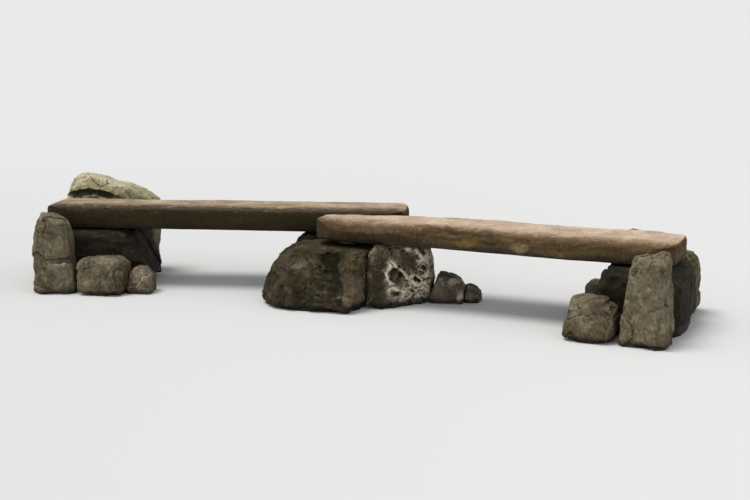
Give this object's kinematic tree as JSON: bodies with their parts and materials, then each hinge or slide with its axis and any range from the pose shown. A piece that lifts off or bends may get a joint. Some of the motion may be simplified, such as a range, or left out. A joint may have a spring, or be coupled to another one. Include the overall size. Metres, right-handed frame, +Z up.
{
  "type": "stone slab bridge",
  "caption": "Low garden bridge of undressed stone slabs that meet side by side on a boulder pier in the water, with boulder abutments and flank stones at the ends.",
  "frame": {"origin": "middle of the pier, on its base, at the level of the water", "axes": "+X along the bridge towards the right slab, +Y away from the side it is seen from, +Z up"},
  "size_m": [11.3793, 3.9541, 1.8077],
  "materials": {
    "slab_stone": "worn, split face",
    "boulder_stone": "rough, weathered",
    "pitted_stone": "rough, pitted",
    "packing_stone": "rough, split",
    "bank_stone": "rough, lichened"
  },
  "bodies": {
    "root": {"left_slab": "slab_stone", "right_slab": "slab_stone", "pier_main_boulder": "boulder_stone", "pier_back_boulder": "boulder_stone", "pier_pitted_boulder": "pitted_stone", "pier_foot_stone_large": "boulder_stone", "pier_foot_stone_small": "boulder_stone", "left_slab_packing_front": "packing_stone", "left_slab_packing_back": "packing_stone", "right_slab_packing_front": "packing_stone", "right_slab_packing_back": "packing_stone", "left_bearing_boulder": "boulder_stone", "left_bearing_packing_front": "packing_stone", "left_bearing_packing_back": "packing_stone", "left_bank_stone_front": "bank_stone", "left_bank_stone_back": "bank_stone", "left_flank_stone_front": "bank_stone", "left_flank_stone_back": "bank_stone", "left_bank_foot_stone": "bank_stone", "right_bearing_boulder": "boulder_stone", "right_bearing_packing_front": "packing_stone", "right_bearing_packing_back": "packing_stone", "right_bank_stone_front": "bank_stone", "right_bank_stone_back": "bank_stone", "right_flank_stone_front": "bank_stone", "right_flank_stone_back": "bank_stone", "right_bank_foot_stone": "bank_stone"}
  },
  "joints": []
}
